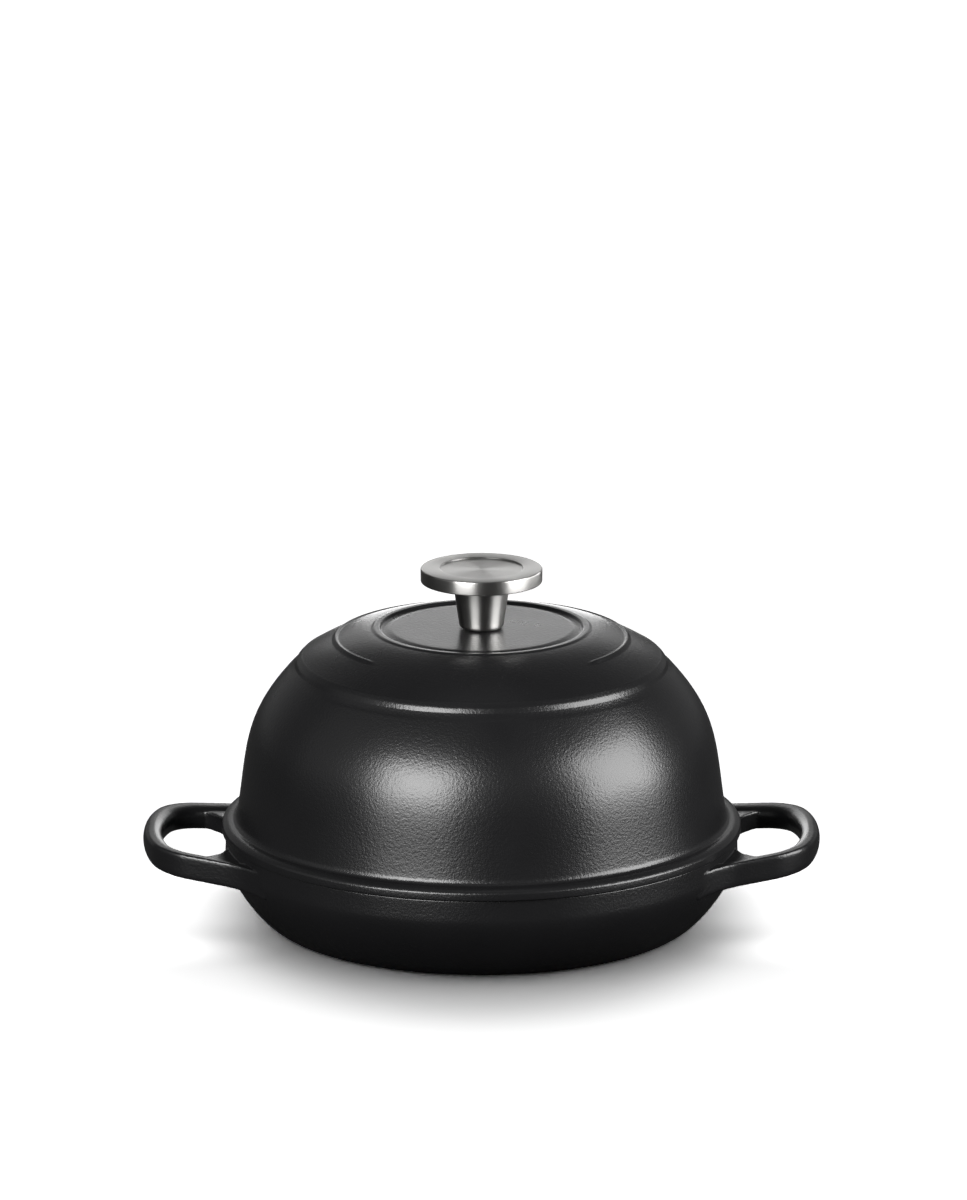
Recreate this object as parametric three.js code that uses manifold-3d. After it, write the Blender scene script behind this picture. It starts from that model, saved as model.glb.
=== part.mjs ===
// Cast iron bread pot: a shallow pan with two loop handles, a tall domed lid that rests on its
// rim, and a turned steel knob held to the lid by a screw and a washer from inside.
// Millimetres, +Z up. The origin is the centre of the pan's underside, and the handles lie along X.

import * as THREE from "three";
import { mergeVertices } from "three/addons/utils/BufferGeometryUtils.js";
import Module from "manifold-3d";

const degrees = THREE.MathUtils.degToRad;

// Pan
const RIM_RADIUS = 124.4;
const RIM_HEIGHT = 43.1;
const PAN_WALL = 4.4;
const PAN_FLOOR = 5;
const WALL_FLARE = 22.8;
const FOOT_REACH = 6.1;
const RIM_BAND = 9.7;
const WALL_REACH = 11.2;
const RIM_ROUND = 1.2;
const RIB_HEIGHT = 1.2;
const RIB_WIDTH = 5;
const RIB_PITCH = 20;
const RIB_INSET = 14;

// Loop handles
const HANDLE_STANDOFF = 39.9;
const HANDLE_WIDTH = 9.7;
const HANDLE_DEPTH = 12.2;
const HANDLE_SQUARENESS = 2.6;
const HANDLE_DROP = 8.3;
const HANDLE_SLOPE = degrees(6.2);
const BAR_RADIUS = 87;
const BAR_ANGLE = degrees(18.1);
const CORNER_RADIUS = 23.6;
const LEG_SPLAY = degrees(16.7);
const WEB_LEG_REACH = 18;
const WEB_WALL_REACH = 19;
const WEB_HOLLOW = 3;
const WEB_DEPTH = 9;
const WEB_DROP = 0.3;

// Lid, with heights above the pan's rim
const SEAT_GAP = 0.3;
const SPIGOT_CLEARANCE = 0.8;
const SPIGOT_DEPTH = 3.5;
const SPIGOT_CHAMFER = 1;
const FLANGE_OVERHANG = 1.6;
const FLANGE_THICKNESS = 3.7;
const FLANGE_ROUND = 0.9;
const FLANGE_RISE = 0.7;
const FILLET_WIDTH = 3.6;
const FILLET_HEIGHT = 4.7;
const DOME_SETBACK = 0.7;
const DOME_DRAFT = degrees(8.7);
const DOME_LOWER_PULL = 35;
const DOME_UPPER_PULL = 37.5;
const DOME_SLOPE = degrees(46.4);
const SHOULDER_RADIUS = 88.1;
const SHOULDER_HEIGHT = 86.1;
const SHOULDER_STEP = 2;
const SHOULDER_DROP = 3;
const SHOULDER_ROUND = 1.8;
const PLATEAU_RADIUS = 51.3;
const PLATEAU_HEIGHT = 100.7;
const CROWN_BEND = 1.6;
const RIM_BEAD_HEIGHT = 1.1;
const RIM_BEAD_WIDTH = 4.6;
const TIER_BEAD_RADIUS = 70.6;
const TIER_BEAD_HEIGHT = 0.9;
const TIER_BEAD_WIDTH = 4.6;
const TIER_BEAD_GAP = degrees(93);
const LID_WALL = 4;

// Knob and its fastening
const KNOB_RADIUS = 29.4;
const KNOB_DISC = 6.8;
const KNOB_EDGE = 0.8;
const KNOB_DISH_RADIUS = 20.5;
const KNOB_DISH_DEPTH = 0.8;
const STEM_HEIGHT = 22.7;
const STEM_TOP_RADIUS = 13.2;
const STEM_FOOT_RADIUS = 10.5;
const STEM_ROUND = 2.2;
const STEM_FILLET = 1.4;
const SCREW_RADIUS = 3;
const SCREW_CLEARANCE = 0.3;
const SCREW_ENGAGEMENT = 11;
const TAP_RUNOUT = 3;
const LID_HOLE_CLEARANCE = 0.7;
const WASHER_RADIUS = 9;
const WASHER_THICKNESS = 1.5;
const SCREW_HEAD_RADIUS = 6;
const SCREW_HEAD_HEIGHT = 3.8;
const SCREW_HEAD_ROUND = 1.6;
const SLOT_WIDTH = 1.4;
const SLOT_DEPTH = 1.8;

// Facets around each turned piece
const POT_FACETS = 48;
const KNOB_FACETS = 36;
const SCREW_FACETS = 24;

// Sizes that follow
const mouthRadius = RIM_RADIUS - PAN_WALL;
const footRadius = RIM_RADIUS - WALL_FLARE;
const wallTop = RIM_HEIGHT - RIM_BAND;
const flangeRadius = RIM_RADIUS + FLANGE_OVERHANG;
const spigotRadius = mouthRadius - SPIGOT_CLEARANCE;
const domeRadius = spigotRadius - DOME_SETBACK;
const crownUnderside = PLATEAU_HEIGHT - LID_WALL;
const washerTop = crownUnderside - SEAT_GAP;
const headTop = washerTop - WASHER_THICKNESS - SEAT_GAP;
const knobBase = PLATEAU_HEIGHT + SEAT_GAP;
const lidHoleRadius = SCREW_RADIUS + LID_HOLE_CLEARANCE;

// Outline helpers: points are radius and height
const at = (radius, height) => new THREE.Vector2(radius, height);

function rounded(from, corner, to, steps = 3) {
  return new THREE.QuadraticBezierCurve(from, corner, to).getPoints(steps);
}

function swept(from, leave, arrive, to, steps) {
  return new THREE.CubicBezierCurve(from, leave, arrive, to).getPoints(steps);
}

// An outline runs anticlockwise, from axis to axis or round a ring, which is closed here
function turned(outline, facets) {
  const loop = outline[0].x === 0 ? outline : [...outline, outline[0]];
  const points = loop.filter((point, i) => i === 0 || point.distanceTo(loop[i - 1]) > 1e-6);
  return new THREE.LatheGeometry(points, facets).rotateX(Math.PI / 2);
}

// Joining and cutting closed solids
const wasm = await Module();
wasm.setup();

function solid(geometry) {
  const bare = geometry.clone();
  bare.deleteAttribute("normal");
  bare.deleteAttribute("uv");
  const merged = mergeVertices(bare, 1e-5);
  return new wasm.Manifold(
    new wasm.Mesh({
      numProp: 3,
      vertProperties: new Float32Array(merged.attributes.position.array),
      triVerts: new Uint32Array(merged.index.array),
    }),
  );
}

function geometryOf(body) {
  const mesh = body.getMesh();
  const geometry = new THREE.BufferGeometry();
  geometry.setAttribute("position", new THREE.BufferAttribute(mesh.vertProperties, mesh.numProp));
  geometry.setIndex(new THREE.BufferAttribute(mesh.triVerts, 1));
  geometry.computeVertexNormals();
  return geometry;
}

// The pan's wall leaves the floor level, leans out and ends upright below the rim
function wallCurve(footHeight, topRadius, steps) {
  return swept(
    at(footRadius, footHeight),
    at(footRadius + FOOT_REACH, footHeight),
    at(topRadius, wallTop - WALL_REACH),
    at(topRadius, wallTop),
    steps,
  );
}

function panOutside() {
  return turned(
    [
      at(0, 0),
      ...wallCurve(0, RIM_RADIUS, 9),
      ...rounded(
        at(RIM_RADIUS, RIM_HEIGHT - RIM_ROUND),
        at(RIM_RADIUS, RIM_HEIGHT),
        at(RIM_RADIUS - RIM_ROUND, RIM_HEIGHT),
      ),
      at(0, RIM_HEIGHT),
    ],
    POT_FACETS,
  );
}

// Low concentric ribs lift the loaf off the pan's floor
function ribOutline() {
  const outermost = footRadius - RIB_INSET;
  const outline = [];
  for (let radius = outermost % RIB_PITCH; radius <= outermost; radius += RIB_PITCH) {
    if (radius > RIB_WIDTH) {
      outline.push(
        ...rounded(
          at(radius - RIB_WIDTH / 2, PAN_FLOOR),
          at(radius, PAN_FLOOR + 2 * RIB_HEIGHT),
          at(radius + RIB_WIDTH / 2, PAN_FLOOR),
          4,
        ),
      );
    }
  }
  return outline;
}

// The space inside the pan, open upwards past the rim
function panInside() {
  const above = RIM_HEIGHT + HANDLE_DEPTH;
  return turned(
    [
      at(0, PAN_FLOOR),
      ...ribOutline(),
      ...wallCurve(PAN_FLOOR, mouthRadius, 8),
      ...rounded(
        at(mouthRadius, RIM_HEIGHT - RIM_ROUND),
        at(mouthRadius, RIM_HEIGHT),
        at(mouthRadius + RIM_ROUND, RIM_HEIGHT),
      ),
      at(mouthRadius + RIM_ROUND, above),
      at(0, above),
    ],
    POT_FACETS,
  );
}

// Plan of one loop handle along its middle line: leg, corner, bowed bar, corner, leg
const barCentre = RIM_RADIUS + HANDLE_STANDOFF - HANDLE_WIDTH / 2 - BAR_RADIUS;
const cornerX = barCentre + (BAR_RADIUS - CORNER_RADIUS) * Math.cos(BAR_ANGLE);
const cornerY = (BAR_RADIUS - CORNER_RADIUS) * Math.sin(BAR_ANGLE);
const legAngle = Math.PI / 2 - LEG_SPLAY;
const legStart = new THREE.Vector2(
  cornerX + CORNER_RADIUS * Math.cos(legAngle),
  cornerY + CORNER_RADIUS * Math.sin(legAngle),
);
const legDirection = new THREE.Vector2(-Math.cos(LEG_SPLAY), Math.sin(LEG_SPLAY));
const legSide = new THREE.Vector2(Math.sin(LEG_SPLAY), Math.cos(LEG_SPLAY));

// Where a line set off sideways from the leg's middle line meets a circle about the pot's axis
function onLeg(sideways, circleRadius) {
  const start = legStart.clone().addScaledVector(legSide, sideways);
  const halfway = start.dot(legDirection);
  const travel = -halfway - Math.sqrt(halfway ** 2 - start.lengthSq() + circleRadius ** 2);
  return start.addScaledVector(legDirection, travel);
}

class HandleLine extends THREE.Curve {
  constructor() {
    super();
    const root = onLeg(0, mouthRadius - PAN_WALL);
    this.plan = new THREE.Path()
      .moveTo(root.x, -root.y)
      .lineTo(legStart.x, -legStart.y)
      .absarc(cornerX, -cornerY, CORNER_RADIUS, -legAngle, -BAR_ANGLE)
      .absarc(barCentre, 0, BAR_RADIUS, -BAR_ANGLE, BAR_ANGLE)
      .absarc(cornerX, cornerY, CORNER_RADIUS, BAR_ANGLE, legAngle)
      .lineTo(root.x, root.y);
  }

  getPoint(t) {
    const point = this.plan.getPointAt(t);
    return new THREE.Vector3(point.x, point.y, 0);
  }
}

// Soft-cornered section of the handle bar, its height along the shape's first axis
function handleSection(points = 12) {
  const shape = new THREE.Shape();
  const soften = (value) => Math.sign(value) * Math.abs(value) ** (2 / HANDLE_SQUARENESS);
  const outline = Array.from({ length: points }, (_, i) => {
    const turn = ((i + 0.5) / points) * 2 * Math.PI;
    return at((HANDLE_DEPTH / 2) * soften(Math.cos(turn)), (HANDLE_WIDTH / 2) * soften(Math.sin(turn)));
  });
  return shape.setFromPoints(outline);
}

// Web in the corner between the leg's inner side and the pan's wall, its free edge slightly hollow
function webGeometry() {
  const corner = onLeg(-HANDLE_WIDTH / 2, RIM_RADIUS);
  const onSide = corner.clone().addScaledVector(legDirection, -WEB_LEG_REACH);
  const onWall = corner.clone().rotateAround(new THREE.Vector2(), -WEB_WALL_REACH / RIM_RADIUS);
  const inWall = onWall.clone().setLength(mouthRadius - PAN_WALL);
  const root = onLeg(0, mouthRadius - PAN_WALL);
  const onLine = onSide.clone().addScaledVector(legSide, HANDLE_WIDTH / 2);
  const middle = onSide.clone().lerp(onWall, 0.5);
  const bend = middle.clone().add(corner.clone().sub(middle).setLength(2 * WEB_HOLLOW));
  const outline = new THREE.Shape()
    .moveTo(onLine.x, onLine.y)
    .lineTo(root.x, root.y)
    .lineTo(inWall.x, inWall.y)
    .lineTo(onWall.x, onWall.y)
    .quadraticCurveTo(bend.x, bend.y, onSide.x, onSide.y);
  return new THREE.ExtrudeGeometry(outline, { depth: WEB_DEPTH, bevelEnabled: false, curveSegments: 6 })
    .translate(0, 0, -WEB_DEPTH / 2 - WEB_DROP);
}

function handleSolid() {
  const bar = new THREE.ExtrudeGeometry(handleSection(), {
    extrudePath: new HandleLine(),
    steps: 30,
    bevelEnabled: false,
  });
  const rise = Math.tan(HANDLE_SLOPE);
  const tilt = new THREE.Matrix4()
    .makeTranslation(0, 0, RIM_HEIGHT - HANDLE_DROP - rise * RIM_RADIUS)
    .multiply(new THREE.Matrix4().makeShear(0, rise, 0, 0, 0, 0));
  const web = solid(webGeometry().applyMatrix4(tilt));
  return solid(bar.applyMatrix4(tilt)).add(web).add(web.mirror([0, 1, 0]));
}

function panGeometry() {
  const handle = handleSolid();
  const casting = solid(panOutside()).add(handle).add(handle.rotate([0, 0, 180]));
  return geometryOf(casting.subtract(solid(panInside())));
}

// The lid's crown falls ever more steeply from the plateau's edge to the shoulder
const crownWidth = SHOULDER_RADIUS - PLATEAU_RADIUS;
const crownFall = PLATEAU_HEIGHT - SHOULDER_HEIGHT;

function crownHeight(radius) {
  const share = Math.max(radius - PLATEAU_RADIUS, 0) / crownWidth;
  return PLATEAU_HEIGHT - crownFall * share ** CROWN_BEND;
}

function crownSlope(radius) {
  const share = (radius - PLATEAU_RADIUS) / crownWidth;
  return Math.atan((CROWN_BEND * share ** (CROWN_BEND - 1) * crownFall) / crownWidth);
}

function crownOutline(from, to, steps) {
  return Array.from({ length: steps + 1 }, (_, i) => {
    const radius = THREE.MathUtils.lerp(from, to, i / steps);
    return at(radius, crownHeight(radius));
  });
}

// Dome wall from the flange fillet up to the foot of the shoulder, set in by a wall thickness
function domeOutline(inset, from, steps) {
  const foot = at(domeRadius - inset, from);
  const top = at(
    SHOULDER_RADIUS + SHOULDER_STEP - inset * Math.sin(DOME_SLOPE),
    SHOULDER_HEIGHT - SHOULDER_DROP - inset * Math.cos(DOME_SLOPE),
  );
  const leave = at(
    foot.x - DOME_LOWER_PULL * Math.sin(DOME_DRAFT),
    foot.y + DOME_LOWER_PULL * Math.cos(DOME_DRAFT),
  );
  const arrive = at(
    top.x + DOME_UPPER_PULL * Math.cos(DOME_SLOPE),
    top.y - DOME_UPPER_PULL * Math.sin(DOME_SLOPE),
  );
  return swept(foot, leave, arrive, top, steps);
}

function lidOutline() {
  const flangeTop = FLANGE_THICKNESS + FLANGE_RISE;
  const filletTop = flangeTop + FILLET_HEIGHT;
  const beadHalf = RIM_BEAD_WIDTH / 2;
  return [
    at(domeRadius - LID_WALL, -SPIGOT_DEPTH),
    at(spigotRadius - SPIGOT_CHAMFER, -SPIGOT_DEPTH),
    at(spigotRadius, SPIGOT_CHAMFER - SPIGOT_DEPTH),
    at(spigotRadius, SEAT_GAP),
    ...rounded(
      at(flangeRadius - FLANGE_ROUND, SEAT_GAP),
      at(flangeRadius, SEAT_GAP),
      at(flangeRadius, SEAT_GAP + FLANGE_ROUND),
      2,
    ),
    ...rounded(
      at(flangeRadius, FLANGE_THICKNESS - FLANGE_ROUND),
      at(flangeRadius, FLANGE_THICKNESS),
      at(flangeRadius - FLANGE_ROUND, FLANGE_THICKNESS),
      2,
    ),
    ...rounded(
      at(domeRadius + FILLET_WIDTH, flangeTop),
      at(domeRadius, flangeTop),
      at(domeRadius, filletTop),
      4,
    ),
    ...domeOutline(0, filletTop, 11),
    ...rounded(
      at(SHOULDER_RADIUS + SHOULDER_ROUND / 2, SHOULDER_HEIGHT - SHOULDER_ROUND),
      at(SHOULDER_RADIUS, SHOULDER_HEIGHT),
      at(SHOULDER_RADIUS - SHOULDER_ROUND, crownHeight(SHOULDER_RADIUS - SHOULDER_ROUND)),
      3,
    ),
    ...crownOutline(SHOULDER_RADIUS - SHOULDER_ROUND, PLATEAU_RADIUS + beadHalf, 5),
    ...rounded(
      at(PLATEAU_RADIUS + beadHalf, crownHeight(PLATEAU_RADIUS + beadHalf)),
      at(PLATEAU_RADIUS, PLATEAU_HEIGHT + 2 * RIM_BEAD_HEIGHT),
      at(PLATEAU_RADIUS - beadHalf, PLATEAU_HEIGHT),
      4,
    ),
    at(lidHoleRadius, PLATEAU_HEIGHT),
    at(lidHoleRadius, crownUnderside),
    at(PLATEAU_RADIUS - LID_WALL, crownUnderside),
    ...crownOutline(PLATEAU_RADIUS, SHOULDER_RADIUS - LID_WALL, 4)
      .map((point) => at(point.x - LID_WALL / 2, point.y - LID_WALL)),
    ...domeOutline(LID_WALL, filletTop, 8).reverse(),
  ];
}

// Raised bead round the crown's slope, left open across the front
function tierBead() {
  const arc = new THREE.Curve();
  const turn = 2 * Math.PI - TIER_BEAD_GAP;
  const start = (TIER_BEAD_GAP - Math.PI) / 2;
  arc.getPoint = (t) =>
    new THREE.Vector3(
      TIER_BEAD_RADIUS * Math.cos(start + t * turn),
      TIER_BEAD_RADIUS * Math.sin(start + t * turn),
      crownHeight(TIER_BEAD_RADIUS),
    );
  const lean = crownSlope(TIER_BEAD_RADIUS);
  const section = new THREE.Shape().absellipse(
    0, 0, TIER_BEAD_HEIGHT, TIER_BEAD_WIDTH / 2, 0, 2 * Math.PI, false, lean,
  );
  return new THREE.ExtrudeGeometry(section, {
    extrudePath: arc,
    steps: 34,
    curveSegments: 4,
    bevelEnabled: false,
  });
}

function lidGeometry() {
  const bell = solid(turned(lidOutline(), POT_FACETS));
  return geometryOf(bell.add(solid(tierBead())));
}

// Turned knob: flat disc on a tapered stem, with a blind hole for the screw
function knobGeometry() {
  const top = STEM_HEIGHT + KNOB_DISC;
  const holeRadius = SCREW_RADIUS + SCREW_CLEARANCE;
  const holeDepth = SCREW_ENGAGEMENT + TAP_RUNOUT;
  return turned(
    [
      at(0, holeDepth),
      at(holeRadius, holeDepth),
      at(holeRadius, 0),
      ...rounded(
        at(STEM_FOOT_RADIUS - STEM_ROUND, 0),
        at(STEM_FOOT_RADIUS, 0),
        at(STEM_FOOT_RADIUS, STEM_ROUND),
      ),
      ...rounded(
        at(STEM_TOP_RADIUS, STEM_HEIGHT - STEM_FILLET),
        at(STEM_TOP_RADIUS, STEM_HEIGHT),
        at(STEM_TOP_RADIUS + STEM_FILLET, STEM_HEIGHT),
      ),
      ...rounded(
        at(KNOB_RADIUS - KNOB_EDGE, STEM_HEIGHT),
        at(KNOB_RADIUS, STEM_HEIGHT),
        at(KNOB_RADIUS, STEM_HEIGHT + KNOB_EDGE),
        2,
      ),
      ...rounded(
        at(KNOB_RADIUS, top - KNOB_EDGE),
        at(KNOB_RADIUS, top),
        at(KNOB_RADIUS - KNOB_EDGE, top),
        2,
      ),
      at(KNOB_DISH_RADIUS, top),
      at(KNOB_DISH_RADIUS - KNOB_DISH_DEPTH, top - KNOB_DISH_DEPTH),
      at(0, top - KNOB_DISH_DEPTH),
    ],
    KNOB_FACETS,
  );
}

function washerGeometry() {
  const bore = SCREW_RADIUS + SCREW_CLEARANCE;
  return turned(
    [at(bore, 0), at(WASHER_RADIUS, 0), at(WASHER_RADIUS, WASHER_THICKNESS), at(bore, WASHER_THICKNESS)],
    SCREW_FACETS,
  );
}

// Slotted round-head screw standing on its head, its shank reaching up into the knob
function screwGeometry() {
  const shankTop = knobBase - headTop + SCREW_ENGAGEMENT;
  const body = turned(
    [
      at(0, -SCREW_HEAD_HEIGHT),
      ...rounded(
        at(SCREW_HEAD_RADIUS - SCREW_HEAD_ROUND, -SCREW_HEAD_HEIGHT),
        at(SCREW_HEAD_RADIUS, -SCREW_HEAD_HEIGHT),
        at(SCREW_HEAD_RADIUS, SCREW_HEAD_ROUND - SCREW_HEAD_HEIGHT),
      ),
      at(SCREW_HEAD_RADIUS, 0),
      at(SCREW_RADIUS, 0),
      at(SCREW_RADIUS, shankTop),
      at(0, shankTop),
    ],
    SCREW_FACETS,
  );
  const slot = new THREE.BoxGeometry(2 * SCREW_HEAD_RADIUS + SLOT_WIDTH, SLOT_WIDTH, 2 * SLOT_DEPTH)
    .translate(0, 0, -SCREW_HEAD_HEIGHT);
  return geometryOf(solid(body).subtract(solid(slot)));
}

// Finishes
const blackEnamel = new THREE.MeshStandardMaterial({ color: 0x1f1f1f, roughness: 0.45, metalness: 0 });
const brushedSteel = new THREE.MeshStandardMaterial({ color: 0xc9c9c7, roughness: 0.3, metalness: 1 });
const platedSteel = new THREE.MeshStandardMaterial({ color: 0xa9abac, roughness: 0.4, metalness: 1 });

function piece(name, geometry, material, height = 0) {
  const mesh = new THREE.Mesh(geometry, material.clone());
  mesh.name = name;
  mesh.position.z = height;
  return mesh;
}

const lid = new THREE.Group();
lid.position.z = RIM_HEIGHT;
lid.add(
  piece("lid_dome", lidGeometry(), blackEnamel),
  piece("knob", knobGeometry(), brushedSteel, knobBase),
  piece("knob_washer", washerGeometry(), platedSteel, washerTop - WASHER_THICKNESS),
  piece("knob_screw", screwGeometry(), platedSteel, headTop),
);

const pot = new THREE.Group();
pot.add(piece("base_pan", panGeometry(), blackEnamel), lid);

export default pot;
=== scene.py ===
# %% [markdown]
# # A cast iron bread pot
# The pot has five pieces: an enamelled pan with two loop handles, an enamelled lid shaped like a tall
# dome, and a steel knob that a screw and a washer hold from inside the lid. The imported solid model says
# where each piece is and what moves. This lesson dresses it: smooth castings, black enamel, turned
# steel, studio light and a camera. The pot is written in millimetres, and the studio in metres.

# %% Load the solid model
import math

import bmesh
import bpy
import numpy as np
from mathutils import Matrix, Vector


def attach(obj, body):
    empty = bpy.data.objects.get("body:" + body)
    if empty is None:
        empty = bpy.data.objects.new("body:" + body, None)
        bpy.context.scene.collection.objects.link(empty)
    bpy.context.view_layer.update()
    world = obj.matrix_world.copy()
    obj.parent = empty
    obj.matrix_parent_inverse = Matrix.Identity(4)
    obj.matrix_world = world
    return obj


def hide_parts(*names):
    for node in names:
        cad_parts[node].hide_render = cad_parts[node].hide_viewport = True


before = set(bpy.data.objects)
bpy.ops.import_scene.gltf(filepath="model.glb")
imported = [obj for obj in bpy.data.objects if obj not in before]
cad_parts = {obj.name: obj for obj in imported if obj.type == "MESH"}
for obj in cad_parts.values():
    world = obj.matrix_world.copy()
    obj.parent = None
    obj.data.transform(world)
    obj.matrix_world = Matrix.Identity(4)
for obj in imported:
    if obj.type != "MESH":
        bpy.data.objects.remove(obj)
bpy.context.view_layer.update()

MM = 0.001
scene = bpy.context.scene

# %% [markdown]
# ## Camera
# The pot was photographed with a long lens, from about four metres away and from a little above, so its
# circles show as flat ellipses and its near and far sides have almost the same scale. A shorter lens
# from closer by would fill the frame as well, but it would swell the front of the dome.

# %% Camera
CAMERA_PLACE = (0.00097, -3.84117, 1.16215)
LOOKS_DOWN = math.radians(14.659)
LENS = 247.05

camera = bpy.data.objects.new("camera", bpy.data.cameras.new("camera"))
camera.data.lens = LENS
camera.location = CAMERA_PLACE
camera.rotation_euler = (math.pi / 2 - LOOKS_DOWN, 0, 0)
scene.collection.objects.link(camera)
scene.camera = camera
scene.view_settings.view_transform = "Standard"
print(f"camera {math.dist(CAMERA_PLACE, (0, 0, 0)):.2f} m away, {LENS} mm lens")

# %% [markdown]
# ## Nodes and colours
# Shaders and shapes below are both node trees, so one small helper adds a node to either kind, sets its
# options and fills its inputs with numbers or with links. Colours are written as sRGB hex values, as a
# colour chart gives them, and shaders want linear light, so one function converts them.

# %% Node helper and colour conversion
WHITE = "#ffffff"


def add(tree, kind, inputs=None, **settings):
    made = tree.nodes.new(kind)
    for name, value in settings.items():
        setattr(made, name, value)
    for socket, value in (inputs or {}).items():
        if isinstance(value, bpy.types.Node):
            value = value.outputs[0]
        if isinstance(value, bpy.types.NodeSocket):
            tree.links.new(value, made.inputs[socket])
        else:
            made.inputs[socket].default_value = value
    return made


def linear(hex_colour):
    shares = [int(hex_colour[i:i + 2], 16) / 255 for i in (1, 3, 5)]
    return [s / 12.92 if s <= 0.04045 else ((s + 0.055) / 1.055) ** 2.4 for s in shares] + [1.0]


print("white in linear light:", linear(WHITE))

# %% [markdown]
# ## Black enamel
# Pan and lid are sand castings under a coat of matte black enamel, which is glass fused to the iron. The
# sand leaves the casting pebbled, and the glass flows over the pebbles and softens them to an orange
# peel. A picture of a real surface could give that, but noise in two sizes needs no file and has no
# seams. Glass gives the refractive index. The tiny crystals that make the enamel matte give a middling
# roughness, which drifts a little over the surface.

# %% Black enamel
# The eye gets a nearly black coat, soft grey glows under the lights, and a fine crinkle inside the glows
PEEL_SPACING, GRAIN_SPACING, DRIFT_SPACING = 1.4, 0.7, 30
PEEL_DEPTH, GRAIN_SHARE = 0.085, 0.4
ENAMEL_DARK, ENAMEL_LIGHT = "#0e0e0f", "#111112"
ENAMEL_GLOSSIEST, ENAMEL_DULLEST = 0.25, 0.32
GLASS_IOR = 1.5

enamel = bpy.data.materials.new("black_enamel_on_cast_iron")
enamel.use_nodes = True
tree = enamel.node_tree
tree.nodes.clear()
place = add(tree, "ShaderNodeTexCoord").outputs["Object"]
peel = add(tree, "ShaderNodeTexNoise", {"Vector": place, "Scale": 1 / (PEEL_SPACING * MM), "Detail": 1})
grain = add(tree, "ShaderNodeTexNoise", {"Vector": place, "Scale": 1 / (GRAIN_SPACING * MM), "Detail": 1})
drift = add(tree, "ShaderNodeTexNoise", {"Vector": place, "Scale": 1 / (DRIFT_SPACING * MM), "Detail": 3})
pebbles = add(tree, "ShaderNodeMath", {0: grain, 1: GRAIN_SHARE, 2: peel}, operation="MULTIPLY_ADD")
bump = add(tree, "ShaderNodeBump", {"Height": pebbles, "Strength": 1.0, "Distance": PEEL_DEPTH * MM})
sheen = add(
    tree, "ShaderNodeMapRange", {"Value": drift, "To Min": ENAMEL_GLOSSIEST, "To Max": ENAMEL_DULLEST}
)
# Sockets 6 and 7 of a Mix node are its two colours, and output 2 is the mixed one
shade = add(
    tree,
    "ShaderNodeMix",
    {"Factor": drift, 6: linear(ENAMEL_DARK), 7: linear(ENAMEL_LIGHT)},
    data_type="RGBA",
)
glaze = add(
    tree,
    "ShaderNodeBsdfPrincipled",
    {"Base Color": shade.outputs[2], "Roughness": sheen, "IOR": GLASS_IOR, "Normal": bump},
)
add(tree, "ShaderNodeOutputMaterial", {"Surface": glaze})
print("enamel peel", PEEL_SPACING, "mm apart")

# %% [markdown]
# ## Turned steel
# The knob is stainless steel, turned on a lathe and brushed while it spun, so its fine scratches run
# round the axis. They stretch each reflection across themselves, which the shader's anisotropy does with
# a tangent that runs round the axis. Real scratches are a few hundredths of a millimetre wide, too fine
# to show here, so they are drawn about ten times as coarse.

# %% Turned steel
# The eye gets bright bands that fan out from the middle of level faces and stand upright on round ones
SCRATCH_SPACING, SCRATCH_DEPTH = 0.5, 0.0006
SCRATCH_STRETCH = 0.3
STEEL_GLOSSIEST, STEEL_DULLEST = 0.26, 0.33
TURNED_GREY = "#abaaa8"

turned_steel = bpy.data.materials.new("turned_stainless_steel")
turned_steel.use_nodes = True
tree = turned_steel.node_tree
tree.nodes.clear()
place = add(tree, "ShaderNodeTexCoord").outputs["Object"]
sides = add(tree, "ShaderNodeSeparateXYZ", {"Vector": place})
flat = add(tree, "ShaderNodeCombineXYZ", {"X": sides.outputs["X"], "Y": sides.outputs["Y"]})
radius = add(tree, "ShaderNodeVectorMath", {0: flat}, operation="LENGTH").outputs["Value"]
angle = add(tree, "ShaderNodeMath", {0: sides.outputs["Y"], 1: sides.outputs["X"]}, operation="ARCTAN2")
along = add(tree, "ShaderNodeMath", {0: angle, 1: SCRATCH_STRETCH * MM}, operation="MULTIPLY")
wrapped = add(tree, "ShaderNodeCombineXYZ", {"X": radius, "Y": along, "Z": sides.outputs["Z"]})
scratch = add(
    tree, "ShaderNodeTexNoise", {"Vector": wrapped, "Scale": 1 / (SCRATCH_SPACING * MM), "Detail": 2}
)
bump = add(tree, "ShaderNodeBump", {"Height": scratch, "Strength": 1.0, "Distance": SCRATCH_DEPTH * MM})
sheen = add(
    tree, "ShaderNodeMapRange", {"Value": scratch, "To Min": STEEL_GLOSSIEST, "To Max": STEEL_DULLEST}
)
round_axis = add(tree, "ShaderNodeTangent", direction_type="RADIAL", axis="Z")
metal = add(
    tree,
    "ShaderNodeBsdfPrincipled",
    {
        "Base Color": linear(TURNED_GREY),
        "Metallic": 1.0,
        "Roughness": sheen,
        "Anisotropic": 0.8,
        "Anisotropic Rotation": 0.25,
        "Tangent": round_axis,
        "Normal": bump,
    },
)
add(tree, "ShaderNodeOutputMaterial", {"Surface": metal})
print("scratches", SCRATCH_SPACING, "mm apart")

# %% [markdown]
# ## Pressed steel
# The screw and the washer are plain pressed steel. Nobody brushed them, so their grain has no direction
# and a cloudy roughness is enough. They show only when the lid is lifted and seen from below.

# %% Pressed steel
# The eye gets a duller, cooler grey than the knob's, with soft patches
PRESS_GRAIN = 1.2
PRESSED_GLOSSIEST, PRESSED_DULLEST = 0.32, 0.5
PRESSED_GREY = "#a9abac"

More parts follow.
